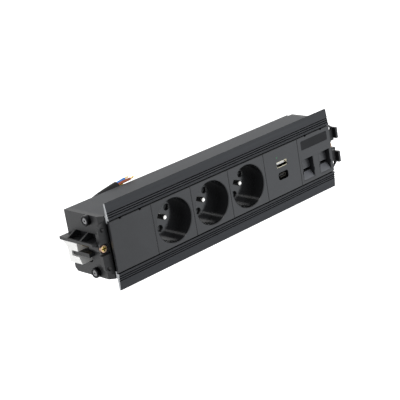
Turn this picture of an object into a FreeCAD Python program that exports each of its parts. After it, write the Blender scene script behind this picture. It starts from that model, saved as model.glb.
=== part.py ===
import FreeCAD, Part
import math
import os
import re

import Sketcher

# An in-desk power module: an aluminium channel that drops into a cut-out in a desk top,
# closed by two end caps and filled with six square modules: a blank plate, three mains
# sockets with an earth pin, a charger with two outlets and a data plate.
#
# Frame: +X runs along the channel, +Z points out of the desk at the user. Z = 0 is the
# underside of the two side flanges, where they rest on the desk top. The origin is at
# the middle of the channel. All lengths are in millimetres.

V = FreeCAD.Vector
DOC = FreeCAD.newDocument("desk_power_module")
SHEET = DOC.addObject("Spreadsheet::Sheet", "Sizes")
PIECES = []

# Driving dimensions.
SIZES = {
    # The row of modules
    "module_pitch": 45.0,
    "module_count": 6,
    "module_gap": 0.1,
    "plate_thickness": 2.5,
    "face_height": 3.3,
    "plate_bevel": 0.35,
    "plate_side_gap": 0.9,
    "hook_width": 6.0,
    "hook_offset": 16.0,
    "hook_thickness": 1.2,
    "hook_gap": 0.2,
    "hook_nib": 0.9,
    "hook_drop": 2.2,
    "edge_notch_offset": 10.8,
    "edge_notch_width": 2.4,
    "edge_notch_depth": 0.9,
    # The channel
    "flange_half": 38.3,
    "flange_edge": 1.6,
    "flange_root": 3.1,
    "lip_width": 1.5,
    "lip_height": 3.5,
    "lip_round": 0.45,
    "ledge_overlap": 1.2,
    "ledge_thickness": 1.6,
    "body_half": 27.75,
    "body_depth": 50.3,
    "wall": 1.8,
    "groove_count": 3,
    "groove_start": 25.9,
    "groove_pitch": 1.9,
    "groove_width": 1.0,
    "groove_depth": 0.7,
    "channel_wall_gap": 4.5,
    "channel_depth": 18.7,
    "channel_bore": 1.7,
    "channel_wall": 1.4,
    "channel_slit": 1.8,
    # End caps, in a frame that starts at the channel's end and points outwards
    "cap_wall": 4.75,
    "strip_drop": 1.2,
    "strip_thickness": 4.4,
    "strip_reach": 9.4,
    "strip_shoulder": 1.0,
    "strip_shoulder_half": 25.0,
    "strip_corner_half": 17.5,
    "end_hole_inset": 5.3,
    "end_hole_half": 17.0,
    "end_hole_radius": 2.0,
    "end_hole_depth": 2.0,
    "end_hole_relief": 2.6,
    "notch_half": 5.0,
    "shelf_gap": 4.4,
    "shelf_thickness": 2.7,
    "shelf_reach": 14.5,
    "shelf_lip": 1.5,
    "shelf_pocket": 1.7,
    "gusset_thickness": 1.8,
    "gusset_place": 22.0,
    "recess_height": 4.5,
    "recess_first": 8.0,
    "recess_last": 38.5,
    "recess_depth": 4.0,
    "tunnel_radius": 3.6,
    "tunnel_end": 19.5,
    "slot_far": 4.8,
    "rib_width": 4.4,
    "lobe_slot_width": 6.6,
    "lobe_slot_front": 22.2,
    "ridge_height": 3.6,
    "ridge_reach": 10.6,
    "ridge_first": 18.0,
    "ridge_last": 40.0,
    "corner_cut": 3.0,
    "lug_start": 9.6,
    "lug_thickness": 2.4,
    "lug_near": 6.6,
    "lug_far": 17.1,
    "lug_height": 2.3,
    "lug_ledge_drop": 3.4,
    # Cap screws
    "cap_screw_head": 4.5,
    "cap_screw_height": 4.0,
    "cap_screw_bevel": 0.5,
    "cap_screw_shank": 1.65,
    "cap_screw_length": 14.0,
    "cap_screw_socket": 3.1,
    "cap_screw_socket_depth": 2.6,
    "screw_hole_play": 0.35,
    # Clamp at each end
    "clamp_inset": 4.9,
    "clamp_head_radius": 3.85,
    "clamp_head_bevel": 0.75,
    "clamp_head_height": 2.4,
    "clamp_head_drop": 3.7,
    "clamp_shank": 2.0,
    "clamp_end": 48.2,
    "clamp_play": 0.2,
    "clamp_lift": 0.1,
    "cross_width": 1.1,
    "cross_length": 4.6,
    "cross_depth": 1.5,
    "collar_top": 4.2,
    "collar_play": 0.3,
    "collar_reach": 8.3,
    "collar_inner": 0.3,
    "claw_play": 0.25,
    "claw_front": 31.0,
    "claw_back": 45.0,
    "claw_tip": 51.5,
    "claw_tip_far": 3.0,
    "claw_reach": 12.0,
    "claw_slant": 3.0,
    # Mains sockets
    "recess_radius": 19.5,
    "recess_floor": 11.7,
    "rim_bevel": 0.6,
    "cup_wall": 1.5,
    "cup_floor": 3.0,
    "pin_angle": 147.0,
    "earth_distance": 10.0,
    "pole_half": 9.5,
    "pole_hole": 2.6,
    "pole_bevel": 0.5,
    "earth_pin_radius": 2.4,
    "earth_shank": 1.9,
    "earth_shoulder": 0.5,
    "earth_pin_top": 2.3,
    "earth_tip": 1.6,
    "earth_tip_cap": 0.55,
    "earth_tip_middle": 1.9,
    "earth_tip_end": 1.1,
    "pin_play": 0.05,
    "earth_collar": 3.3,
    "earth_collar_height": 1.5,
    "earth_tail": 1.5,
    "earth_pin_bottom": 22.0,
    "base_half_width": 20.0,
    "base_gap": 1.65,
    "base_bottom": 29.7,
    "base_floor": 1.0,
    "contact_radius": 3.4,
    "contact_bore": 2.65,
    "contact_top": 18.2,
    "contact_slit": 0.8,
    "contact_play": 0.1,
    "tail_radius": 1.5,
    "foot_half": 2.0,
    "contact_foot_half": 3.0,
    "shutter_half_length": 12.3,
    "shutter_half_width": 3.3,
    "shutter_play": 0.3,
    "shutter_height": 2.4,
    "shutter_travel": 6.2,
    "shutter_ramp": 2.7,
    "shutter_lip": 1.0,
    # Bars and tray behind the sockets
    "bar_thickness": 1.0,
    "bar_width": 5.0,
    "pole_bar_near": 7.6,
    "earth_bar_near": -0.5,
    "bar_left": -112.0,
    "bar_right": 84.0,
    "tray_floor": 1.5,
    "tray_wall": 1.5,
    "tray_inset": 3.9,
    "tray_left": -126.0,
    "tray_right": 88.0,
    "tray_rib_play": 0.2,
    # Terminal block behind the blank plate
    "terminal_left": -124.0,
    "terminal_right": -98.0,
    "terminal_top": 17.0,
    "terminal_play": 0.1,
    "terminal_screw_x": -107.0,
    "terminal_screw_radius": 2.4,
    "terminal_screw_shank": 1.7,
    "terminal_screw_head": 1.6,
    "terminal_wire_radius": 1.9,
    # Charger module
    "usb_a_width": 13.5,
    "usb_a_height": 5.4,
    "usb_a_y": 6.5,
    "usb_c_pocket_width": 12.7,
    "usb_c_pocket_height": 7.2,
    "usb_c_pocket_depth": 1.6,
    "usb_c_pocket_round": 2.2,
    "usb_c_y": -4.5,
    "usb_c_width": 8.9,
    "usb_c_height": 3.2,
    "shell_wall": 0.35,
    "shell_floor": 1.0,
    "shell_play": 0.1,
    "usb_a_shell_drop": 0.4,
    "tongue_width": 11.2,
    "tongue_height": 1.9,
    "tongue_shift": 0.75,
    "tongue_drop": 2.4,
    "usb_c_tongue_width": 6.6,
    "usb_c_tongue_height": 0.7,
    "usb_c_tongue_drop": 1.0,
    "light_x": -5.8,
    "light_y": 13.8,
    "light_radius": 0.9,
    "housing_half_width": 20.5,
    "housing_wall": 1.5,
    "board_half_width": 17.0,
    "board_gap": 2.0,
    "board_top": 12.0,
    "board_thickness": 1.6,
    "post_radius": 2.0,
    "post_inset": 2.5,
    "transformer_half": 6.5,
    "transformer_height": 10.0,
    "transformer_x": 6.0,
    "capacitor_radius": 4.5,
    "capacitor_height": 11.0,
    "capacitor_x": -8.5,
    "feed_tab_x": -14.5,
    "feed_tab_width": 3.0,
    # Data plate
    "label_width": 36.0,
    "label_height": 8.7,
    "label_y": 14.4,
    "label_depth": 0.9,
    "label_round": 1.2,
    "label_play": 0.1,
    "insert_width": 16.5,
    "insert_pitch": 23.0,
    "insert_top": 1.0,
    "insert_bottom": -20.0,
    "insert_play": 0.1,
    "insert_depth": 6.0,
    "insert_tilt": 1.2,
    "insert_skin": 1.4,
    "insert_side": 0.9,
    "insert_gap_top": -10.0,
    "insert_gap_bottom": -12.4,
    "insert_rim": 1.2,
    # Cable outlet on the back of the channel
    "cable_radius": 4.2,
    "cable_start": -127.9,
    "cable_y": 17.7,
    "cable_drop": 4.9,
    "cowl_left": -129.5,
    "cowl_right": -117.0,
    "cowl_near": 12.2,
    "cowl_far": 23.2,
    "cowl_height": 10.5,
    "cowl_wall": 1.2,
    "cowl_mouth": 2.5,
    "cowl_flange": 4.6,
    "cowl_flange_thickness": 2.0,
    "cowl_screw_radius": 1.4,
    "cowl_screw_head": 2.1,
    "cowl_screw_height": 1.4,
    "core_radius": 1.25,
    "strand_radius": 0.75,
    # How far a cutting solid runs past a face, and the least flat beside a round
    "past": 1.0,
    "least_flat": 0.01,
}

# Sizes that follow from the driving ones.
FOLLOWING = {
    "channel_half": "module_pitch * module_count / 2",
    "plate_half_width": "(module_pitch - module_gap) / 2",
    "plate_half_height": "module_pitch / 2",
    "plate_under": "face_height - plate_thickness",
    "opening_half": "plate_half_height + plate_side_gap",
    "lip_half": "opening_half + lip_width",
    "ledge_half": "plate_half_height - ledge_overlap",
    "ledge_under": "plate_under - ledge_thickness",
    "inner_half": "body_half - wall",
    "base_half_height": "channel_y - channel_bore - channel_wall - base_gap",
    "tray_half": "base_half_height - tray_inset",
    "terminal_half": "tray_half - tray_wall - tray_rib_play",
    "board_half_height": "base_half_height - housing_wall - board_gap",
    "channel_y": "body_half - channel_wall_gap",
    "strip_under": "-strip_drop - strip_thickness",
    "hole_under": "-strip_drop - end_hole_depth",
    "shelf_far": "shelf_gap + shelf_thickness",
    "lobe_slot_near": "slot_far + rib_width",
    "lobe_slot_middle": "lobe_slot_near + lobe_slot_width / 2",
    "clamp_seat": "-clamp_head_drop - clamp_head_height - clamp_lift",
    "cup_radius": "recess_radius + cup_wall",
    "cup_under": "-recess_floor - cup_floor",
    "earth_x": "earth_distance * cos(pin_angle * 1 deg)",
    "earth_y": "earth_distance * sin(pin_angle * 1 deg)",
    "pole_x": "pole_half * sin(pin_angle * 1 deg)",
    "pole_y": "-pole_half * cos(pin_angle * 1 deg)",
    "bar_top": "-base_bottom - bar_thickness",
    "bar_under": "bar_top - bar_thickness",
    "shutter_room": "shutter_height + 2 * shutter_play",
    "board_under": "-board_top - board_thickness",
    "usb_centre": "module_pitch * 3 / 2",
    "data_centre": "module_pitch * 5 / 2",
    "blank_centre": "-module_pitch * 5 / 2",
    "cowl_under": "-body_depth - cowl_height",
    "cable_depth": "body_depth + cable_drop",
}


def full(text):
    """Expand a size expression until it names only cells of the sheet."""
    def swap(match):
        word = match.group(0)
        if word in FOLLOWING:
            return "(%s)" % full(FOLLOWING[word])
        if word in SIZES:
            return "Sizes." + word
        return word
    return re.sub(r"[a-z_]+", swap, text)


def value(text):
    """The number that a size expression has now."""
    return float(SHEET.evalExpression(full(text)))


def bind(thing, **expressions):
    """Bind properties to size expressions; two underscores stand for a dot."""
    for name, text in expressions.items():
        thing.setExpression(name.replace("__", "."), full(text))
    return thing


def span(ends):
    """The length between a low and a high expression."""
    return "(%s) - (%s)" % (ends[1], ends[0])


def both(half):
    """The pair of expressions at minus and plus a half size."""
    return ("-(%s)" % half, half)


def about(middle, half):
    """The pair of expressions at a half size to each side of a middle."""
    return ("(%s) - (%s)" % (middle, half), "(%s) + (%s)" % (middle, half))


def block(x, y, z):
    """A box between pairs of low and high expressions."""
    box = DOC.addObject("Part::Box", "Block")
    bind(box, Length=span(x), Width=span(y), Height=span(z))
    bind(box, Placement__Base__x=x[0], Placement__Base__y=y[0], Placement__Base__z=z[0])
    return box


def round_solid(kind, sizes, axis, centre, start):
    """A cylinder or cone along an axis, from a centre given by its other two axes."""
    solid = DOC.addObject(kind, "Round")
    bind(solid, **sizes)
    if axis == "X":
        solid.Placement = FreeCAD.Placement(V(), FreeCAD.Rotation(V(0, 1, 0), 90))
        base = (start, centre[0], centre[1])
    else:
        base = (centre[0], centre[1], start)
    bind(solid, Placement__Base__x=base[0], Placement__Base__y=base[1],
         Placement__Base__z=base[2])
    return solid


def rod(axis, radius, centre, ends):
    """A cylinder along X or Z between two ends."""
    sizes = {"Radius": radius, "Height": span(ends)}
    return round_solid("Part::Cylinder", sizes, axis, centre, ends[0])


def cone(axis, first, last, centre, ends):
    """A cone along X or Z with a radius at each end."""
    sizes = {"Radius1": first, "Radius2": last, "Height": span(ends)}
    return round_solid("Part::Cone", sizes, axis, centre, ends[0])


def fuse(*solids):
    """Solids that are one moulding."""
    joined = DOC.addObject("Part::MultiFuse", "Joined")
    joined.Shapes = list(solids)
    joined.Refine = True
    return joined


def group(*solids):
    """Separate solids that are handled as one."""
    compound = DOC.addObject("Part::Compound", "Group")
    compound.Links = list(solids)
    return compound


def cut(base, *tools):
    """A solid with others taken out of it."""
    made = DOC.addObject("Part::Cut", "Cut")
    made.Base = base
    made.Tool = tools[0] if len(tools) == 1 else fuse(*tools)
    made.Refine = True
    return made


def rounded(x, y, z, radius):
    """A box along Z with four rounded upright edges."""
    low_x = "(%s) + (%s)" % (x[0], radius)
    high_x = "(%s) - (%s)" % (x[1], radius)
    low_y = "(%s) + (%s)" % (y[0], radius)
    high_y = "(%s) - (%s)" % (y[1], radius)
    parts = [block((low_x, high_x), y, z), block(x, (low_y, high_y), z)]
    for corner_x in (low_x, high_x):
        for corner_y in (low_y, high_y):
            parts.append(rod("Z", radius, (corner_x, corner_y), z))
    return fuse(*parts)


def prism(plane, outline, ends):
    """A body with one pad: an outline on an origin plane, between two ends.

    The outline's pairs are X and Y on the XY plane, Y and Z on the YZ plane and
    X and Z on the XZ plane, whose pads run towards minus Y.
    """
    body = DOC.addObject("PartDesign::Body", "Prism")
    sketch = body.newObject("Sketcher::SketchObject", "Outline")
    role = plane + "_Plane"
    sketch.AttachmentSupport = [feature for feature in body.Origin.OriginFeatures
                                if feature.Role == role][0]
    sketch.MapMode = "FlatFace"
    if plane == "XZ":
        bind(sketch, AttachmentOffset__Base__z="-(%s)" % ends[1])
    else:
        bind(sketch, AttachmentOffset__Base__z=ends[0])
    corners = [V(value(first), value(second), 0) for first, second in outline]
    count = len(corners)
    for index in range(count):
        line = Part.LineSegment(corners[index], corners[(index + 1) % count])
        sketch.addGeometry(line, False)
    for index in range(count):
        follower = (index + 1) % count
        sketch.addConstraint(Sketcher.Constraint("Coincident", index, 2, follower, 1))
        for kind, expression, other_axis in (("DistanceX", outline[index][0], -2),
                                             ("DistanceY", outline[index][1], -1)):
            size = value(expression)
            if abs(size) < 1e-6:
                rule = Sketcher.Constraint("PointOnObject", index, 1, other_axis)
                sketch.addConstraint(rule)
                continue
            rule = Sketcher.Constraint(kind, -1, 1, index, 1, size)
            place = sketch.addConstraint(rule)
            sketch.setExpression("Constraints[%d]" % place, full(expression))
    pad = body.newObject("PartDesign::Pad", "Pad")
    pad.Profile = sketch
    bind(pad, Length=span(ends))
    return body


def bevelled_plate(x, y, z, bevel):
    """A flat plate with a bevel round its front face."""
    corners = [(x[0], y[0]), (x[1], y[0]), (x[1], y[1]), (x[0], y[1])]
    body = prism("XY", corners, z)
    DOC.recompute()
    pad = body.Tip
    heights = [face.CenterOfMass.z for face in pad.Shape.Faces]
    front = "Face%d" % (heights.index(max(heights)) + 1)
    chamfer = body.newObject("PartDesign::Chamfer", "Bevel")
    chamfer.Base = (pad, [front])
    bind(chamfer, Size=bevel)
    return body


def turned(thing, degrees):
    """The same solid turned about the Z axis of its own frame."""
    holder = group(thing)
    holder.Placement = FreeCAD.Placement(V(), FreeCAD.Rotation(V(0, 0, 1), degrees))
    return holder


def piece(name, thing, x="0", degrees=0):
    """Name a finished piece, put it in its place and list it."""
    if x != "0" and thing.ExpressionEngine:
        thing = group(thing)
    thing.Label = name
    if degrees or x != "0":
        thing.Placement = FreeCAD.Placement(V(), FreeCAD.Rotation(V(0, 0, 1), degrees))
        bind(thing, Placement__Base__x=x)
    PIECES.append(thing)
    return thing


def fill_sheet():
    """Write the driving dimensions into the sheet, one named cell each."""
    for row, (name, number) in enumerate(SIZES.items(), start=1):
        SHEET.set("A%d" % row, name)
        SHEET.set("B%d" % row, str(number))
        SHEET.setAlias("B%d" % row, name)
    DOC.recompute()


def flange_top(y):
    """The height of a flange's sloping top at a distance from the middle."""
    slope = "(flange_root - flange_edge) / (flange_half - lip_half)"
    return "flange_root - (%s) * ((%s) - lip_half)" % (slope, y)


def channel_side():
    """Half of the channel's section, from the bottom middle round to the inside."""
    points = [("body_half", "-body_depth"), ("body_half", "0"),
              ("flange_half", "0"), ("flange_half", "flange_edge")]
    for index in reversed(range(int(SIZES["groove_count"]))):
        middle = "groove_start + groove_pitch * %d" % index
        low, high = about(middle, "groove_width / 2")
        points.append((high, flange_top(high)))
        points.append((middle, "(%s) - groove_depth" % flange_top(middle)))
        points.append((low, flange_top(low)))
    points += [("lip_half", "flange_root"), ("lip_half", "lip_height - lip_round"),
               ("lip_half - lip_round", "lip_height"),
               ("opening_half + lip_round", "lip_height"),
               ("opening_half", "lip_height - lip_round"),
               ("opening_half", "plate_under"), ("ledge_half", "plate_under"),
               ("ledge_half", "ledge_under"), ("inner_half", "ledge_under"),
               ("inner_half", "wall - body_depth")]
    return points


def channel():
    """The extruded channel with side flanges, module ledges and screw channels."""
    right = channel_side()
    left = [("-(%s)" % y, z) for y, z in reversed(right)]
    length = both("channel_half")
    parts = [prism("YZ", right + left, length)]
    bores = []
    for sign in ("", "-"):
        centre = ("%schannel_y" % sign, "-channel_depth")
        parts.append(rod("X", "channel_bore + channel_wall", centre, length))
        ends = sorted(("%schannel_y" % sign, "%s(inner_half + wall / 2)" % sign), key=value)
        parts.append(block(length, ends, about("-channel_depth", "channel_bore")))
        bores.append(rod("X", "channel_bore", centre, length))
        reach = "%s(channel_y - channel_bore - 2 * channel_wall)" % sign
        slit = sorted(("%schannel_y" % sign, reach), key=value)
        bores.append(block(length, slit, about("-channel_depth", "channel_slit / 2")))
    entry_x = ("cowl_left + cowl_wall", "cowl_right - cowl_mouth")
    entry_y = ("cowl_near + cowl_wall", "cowl_far - cowl_wall")
    bores.append(block(entry_x, entry_y, ("-body_depth - wall", "2 * wall - body_depth")))
    for x, y in cowl_screw_places():
        ends = ("-body_depth - wall", "2 * wall - body_depth")
        bores.append(rod("Z", "cowl_screw_radius", (x, y), ends))
    piece("channel", cut(fuse(*parts), *bores))


def end_cap(name, sign, turn, with_lugs):
    """An end cap: wall, front strip, shelf with a gusset, tunnel and clamp cut-outs."""
    back = "-body_depth"
    through = ("-past", "cap_wall + past")
    profile = [("0", back), ("cap_wall", back), ("cap_wall", "strip_under"),
               ("strip_shoulder", "-strip_drop"), ("0", "-strip_drop")]
    strip = [("0", "-strip_shoulder_half"), ("strip_reach", "-strip_corner_half"),
             ("strip_reach", "strip_corner_half"), ("0", "strip_shoulder_half")]
    parts = [
        prism("XZ", profile, both("body_half")),
        prism("XY", strip, ("strip_under", "-strip_drop")),
        block(("cap_wall", "shelf_reach"), ("-shelf_far", "-shelf_gap"), (back, "strip_under")),
        rod("Z", "tunnel_radius", ("clamp_inset", "0"), ("-tunnel_end", "strip_under")),
        block(("cap_wall", "ridge_reach"), ("slot_far", "slot_far + ridge_height"),
              ("-ridge_last", "-ridge_first")),
    ]
    if with_lugs:
        for edge in ("-", ""):
            y = sorted((edge + "lug_near", edge + "lug_far"), key=value)
            parts.append(block(("strip_reach - strip_shoulder", "lug_start + lug_thickness"),
                               y, ("strip_under", "-lug_ledge_drop")))
            parts.append(block(("lug_start", "lug_start + lug_thickness"), y,
                               ("strip_under", "lug_height")))
    room = ("-recess_last", "-recess_first")
    recess = block(("cap_wall - recess_depth", "cap_wall + past"),
                   ("-shelf_far - recess_height", "shelf_pocket - shelf_far"), room)
    pocket = block(("cap_wall", "shelf_reach - shelf_lip"),
                   ("-shelf_far - past", "shelf_pocket - shelf_far"), room)
    parts = [cut(fuse(*parts), recess, pocket)]
    slope = [("cap_wall - recess_depth", "-shelf_gap"), ("shelf_reach", "-shelf_gap"),
             ("shelf_reach", "-shelf_far"), ("cap_wall", "-shelf_far - recess_height"),
             ("cap_wall - recess_depth", "-shelf_far - recess_height")]
    parts.append(prism("XY", slope, about("-gusset_place", "gusset_thickness / 2")))
    parts.append(prism("XY", slope, ("-recess_last - gusset_thickness", "-recess_last")))

    lobe_y = ("lobe_slot_near", "lobe_slot_near + lobe_slot_width")
    lobe_front = "-lobe_slot_front - lobe_slot_width / 2"
    open_back = "-body_depth - past"
    corner = [("body_half - corner_cut", back), ("body_half", "corner_cut - body_depth"),
              ("body_half + past", open_back)]
    openings = [
        block(("0", "strip_reach + past"), both("notch_half"), ("strip_under", "past")),
        rod("Z", "clamp_head_radius + clamp_play", ("clamp_inset", "0"),
            ("clamp_seat", "past")),
        rod("Z", "clamp_shank + clamp_play", ("clamp_inset", "0"), (back, "past")),
        block(through, ("-shelf_gap", "slot_far"), (open_back, "-tunnel_end")),
        block(through, lobe_y, (open_back, lobe_front)),
        rod("X", "lobe_slot_width / 2", ("lobe_slot_middle", lobe_front), through),
        prism("YZ", corner, through),
    ]
    for edge in ("-", ""):
        y = edge + "end_hole_half"
        openings.append(rod("Z", "end_hole_radius", ("end_hole_inset", y),
                            ("strip_under", "past")))
        openings.append(block(("cap_wall", "strip_reach + past"), about(y, "end_hole_relief"),
                              ("strip_under - past", "hole_under")))
        openings.append(rod("X", "cap_screw_shank + screw_hole_play",
                            (edge + "channel_y", "-channel_depth"), through))
    piece("end_cap_" + name, cut(fuse(*parts), *openings), sign + "channel_half", turn)


def cross_recess(centre, top):
    """The cross that a screwdriver takes in a head at a height."""
    x, y = centre
    deep = (top + " - cross_depth", top + " + past")
    return fuse(block(about(x, "cross_length / 2"), about(y, "cross_width / 2"), deep),
                block(about(x, "cross_width / 2"), about(y, "cross_length / 2"), deep))


def clamp(name, sign, turn):
    """The clamp at one end: its screw, the collar round its head and its claw."""
    centre = ("clamp_inset", "0")
    top = "-clamp_head_drop"
    shoulder = "%s - clamp_head_height / 2" % top
    under = "%s - clamp_head_height" % top
    head = fuse(rod("Z", "clamp_head_radius", centre, (under, shoulder)),
                cone("Z", "clamp_head_radius", "clamp_head_radius - clamp_head_bevel", centre,
                     (shoulder, top)),
                rod("Z", "clamp_shank", centre, ("-clamp_end", under)))
    place = sign + "channel_half"
    piece("clamp_screw_" + name, cut(head, cross_recess(centre, top)), place, turn)

    collar = block(("collar_inner", "collar_reach"), both("notch_half - collar_play"),
                   ("strip_under", "-collar_top"))
    bore = rod("Z", "clamp_head_radius + clamp_play", centre, ("strip_under - past", "past"))
    piece("screw_collar_" + name, cut(collar, bore), place, turn)

    near = "claw_play - shelf_gap"
    lobe_near = "lobe_slot_near + claw_play"
    lobe_far = "lobe_slot_near + lobe_slot_width - claw_play"
    length = ("-claw_back", "-claw_front")
    lobe = [(lobe_near, length[0]), (lobe_far, length[0]), (lobe_far, "claw_slant - claw_front"),
            (lobe_near, length[1])]
    tip = [(near, length[0]), (near, "-claw_tip"), ("claw_tip_far", length[0])]
    parts = [
        block(("claw_play", "claw_reach"), (near, "slot_far - claw_play"), length),
        prism("YZ", lobe, ("claw_play", "claw_reach")),
        block(("cap_wall + claw_play", "claw_reach"), (near, lobe_far),
              (length[0], "-ridge_last - claw_play")),
        prism("YZ", tip, ("cap_wall + claw_play", "claw_reach")),
    ]
    thread = rod("Z", "clamp_shank + claw_play / 2", centre, ("-claw_tip - past", "past"))
    piece("clamp_claw_" + name, cut(fuse(*parts), thread), place, turn)


def cap_screws(name, sign, turn):
    """The two screws that hold an end cap to the channel."""
    for edge, word in (("-", "first"), ("", "second")):
        centre = (edge + "channel_y", "-channel_depth")
        outer = "cap_wall + cap_screw_height"
        edge_start = outer + " - cap_screw_bevel"
        parts = fuse(rod("X", "cap_screw_head", centre, ("cap_wall", edge_start)),
                     cone("X", "cap_screw_head", "cap_screw_head - cap_screw_bevel", centre,
                          (edge_start, outer)),
                     rod("X", "cap_screw_shank", centre, ("-cap_screw_length", "cap_wall")))
        socket = rod("X", "cap_screw_socket", centre,
                     (outer + " - cap_screw_socket_depth", outer + " + past"))
        piece("cap_screw_%s_%s" % (name, word), cut(parts, socket), sign + "channel_half", turn)


def module_plate(notched):
    """A square front plate with its four snap hooks, and notches if asked for."""
    parts = [bevelled_plate(both("plate_half_width"), both("plate_half_height"),
                            ("plate_under", "face_height"), "plate_bevel")]
    for side in ("", "-"):
        for place in ("", "-"):
            x = about(place + "hook_offset", "hook_width / 2")
            outer = "ledge_half - hook_gap"
            leg = sorted(("%s(%s)" % (side, outer), "%s(%s - hook_thickness)" % (side, outer)),
                         key=value)
            low = "ledge_under - hook_drop"
            parts.append(block(x, leg, (low, "plate_under")))
            nib = [("%s(%s)" % (side, outer), "ledge_under"),
                   ("%s(%s + hook_nib)" % (side, outer), "ledge_under"),
                   ("%s(%s)" % (side, outer), low)]
            parts.append(prism("YZ", nib, x))
    whole = fuse(*parts)
    if not notched:
        return whole
    cuts = []
    for place in ("", "-"):
        cuts.append(block(about(place + "edge_notch_offset", "edge_notch_width / 2"),
                          ("plate_half_height - edge_notch_depth", "plate_half_height + past"),
                          ("plate_under - past", "face_height + past")))
    return cut(whole, *cuts)


def socket_front(name, place):
    """The socket's front: plate, round recess, pole holes and earth pin hole."""
    whole = fuse(module_plate(False),
                 rod("Z", "cup_radius", ("0", "0"), ("cup_under", "plate_under + past")))
    cuts = [rod("Z", "recess_radius", ("0", "0"), ("-recess_floor", "face_height + past")),
            cone("Z", "recess_radius", "recess_radius + 2 * rim_bevel", ("0", "0"),
                 ("face_height - rim_bevel", "face_height + rim_bevel")),
            rod("Z", "earth_shank + pin_play", ("earth_x", "earth_y"),
                ("cup_under - past", "0"))]
    for side in ("", "-"):
        centre = (side + "pole_x", "%s(pole_y)" % side)
        cuts.append(rod("Z", "pole_hole", centre, ("cup_under - past", "0")))
        cuts.append(cone("Z", "pole_hole", "pole_hole + 2 * pole_bevel", centre,
                         ("-recess_floor - pole_bevel", "pole_bevel - recess_floor")))
    piece("socket_front_" + name, cut(whole, *cuts), place)


def socket_base(name, place):
    """The socket's rear half, with room for the shutter, contacts and earth pin."""
    whole = block(both("base_half_width"), both("base_half_height"),
                  ("-base_bottom", "cup_under"))
    room = ("cup_under - shutter_room", "cup_under + past")
    travel = block(both("shutter_half_length + shutter_play"),
                   ("-shutter_half_width - shutter_travel - shutter_play",
                    "shutter_half_width + shutter_play"), room)
    cuts = [turned(travel, value("pin_angle") - 90)]
    for side in ("", "-"):
        centre = (side + "pole_x", "%s(pole_y)" % side)
        cuts.append(rod("Z", "contact_radius + contact_play", centre,
                        ("base_floor - base_bottom", "cup_under - shutter_height")))
        cuts.append(rod("Z", "tail_radius + contact_play", centre,
                        ("-base_bottom - past", "cup_under - shutter_height")))
    earth = ("earth_x", "earth_y")
    cuts.append(rod("Z", "earth_collar + pin_play", earth,
                    ("cup_under - earth_collar_height", "cup_under + past")))
    cuts.append(rod("Z", "earth_shank + pin_play", earth,
                    ("-earth_pin_bottom", "cup_under + past")))
    cuts.append(rod("Z", "earth_tail + pin_play", earth, ("-base_bottom - past", "cup_under")))
    piece("socket_base_" + name, cut(whole, *cuts), place)


def earth_pin(name, place):
    """The pin with its rounded tip, the collar that holds it and its foot."""
    centre = ("earth_x", "earth_y")
    shoulder = "earth_pin_top - earth_tip"
    neck = "earth_pin_top - earth_tip_cap"
    root = "earth_shoulder - recess_floor"
    solid = fuse(
        rod("Z", "earth_shank", centre, ("-earth_pin_bottom", root)),
        rod("Z", "earth_pin_radius", centre, (root, shoulder)),
        cone("Z", "earth_pin_radius", "earth_tip_middle", centre, (shoulder, neck)),
        cone("Z", "earth_tip_middle", "earth_tip_end", centre, (neck, "earth_pin_top")),
        rod("Z", "earth_collar", centre, ("cup_under - earth_collar_height", "cup_under")),
        rod("Z", "earth_tail", centre, ("bar_top", "-earth_pin_bottom")),
        block(about("earth_x", "foot_half"),
              ("earth_bar_near + 2 * pole_bevel", "earth_y + earth_tail"),
              ("bar_top", "-base_bottom")))
    piece("earth_pin_" + name, solid, place)


def pole_contacts(name, place):
    """The two split sleeves that take a plug's pins, each with a foot on its bar."""
    for side, word in (("", "live"), ("-", "neutral")):
        centre = (side + "pole_x", "%s(pole_y)" % side)
        bottom = "base_floor - base_bottom"
        sleeve = fuse(rod("Z", "contact_radius", centre, (bottom, "-contact_top")),
                      rod("Z", "tail_radius", centre, ("bar_top", bottom)),
                      block(about(centre[0], "contact_foot_half"), about(centre[1], "tail_radius"),
                            ("bar_top", "-base_bottom")))
        bore = rod("Z", "contact_bore", centre, ("%s + base_floor" % bottom, "0"))
        slit = block(about(centre[0], "contact_radius + past"), about(centre[1], "contact_slit / 2"),
                     ("%s + 2 * base_floor" % bottom, "0"))
        piece("%s_contact_%s" % (word, name), cut(sleeve, bore, slit), place)


def shutter(name, place):
    """The slide under the recess floor that covers both pole holes."""
    top = "cup_under - shutter_play"
    under = "%s - shutter_height" % top
    lip = "%s + shutter_lip" % under
    section = [("-shutter_half_width", under), ("shutter_half_width", under),
               ("shutter_half_width", lip), ("shutter_half_width - shutter_ramp", top),
               ("-shutter_half_width", top)]
    bar = prism("YZ", section, both("shutter_half_length"))
    piece("shutter_" + name, bar, place, value("pin_angle") - 90)


def bars_and_tray():
    """Three flat bars along the sockets and the tray that carries them."""
    places = {
        "live_bar": ("pole_bar_near", "pole_bar_near + bar_width"),
        "neutral_bar": ("-pole_bar_near - bar_width", "-pole_bar_near"),
        "earth_bar": ("earth_bar_near", "earth_bar_near + bar_width"),
    }
    for name, y in places.items():
        piece(name, block(("bar_left", "bar_right"), y, ("bar_under", "bar_top")))
    length = ("tray_left", "tray_right")
    floor = ("bar_under - tray_floor", "bar_under")
    parts = [block(length, both("tray_half"), floor)]
    for side in ("", "-"):
        y = sorted((side + "tray_half", "%s(tray_half - tray_wall)" % side), key=value)
        parts.append(block(length, y, ("bar_under - tray_floor", "-base_bottom")))
    ribs = [("earth_bar_near + bar_width + tray_rib_play", "pole_bar_near - tray_rib_play"),
            ("tray_rib_play - pole_bar_near", "earth_bar_near - tray_rib_play")]
    for y in ribs:
        parts.append(block(("terminal_right + bar_width", "tray_right"), y,
                           ("bar_under - tray_floor", "bar_top")))
    piece("bar_tray", fuse(*parts))


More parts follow.
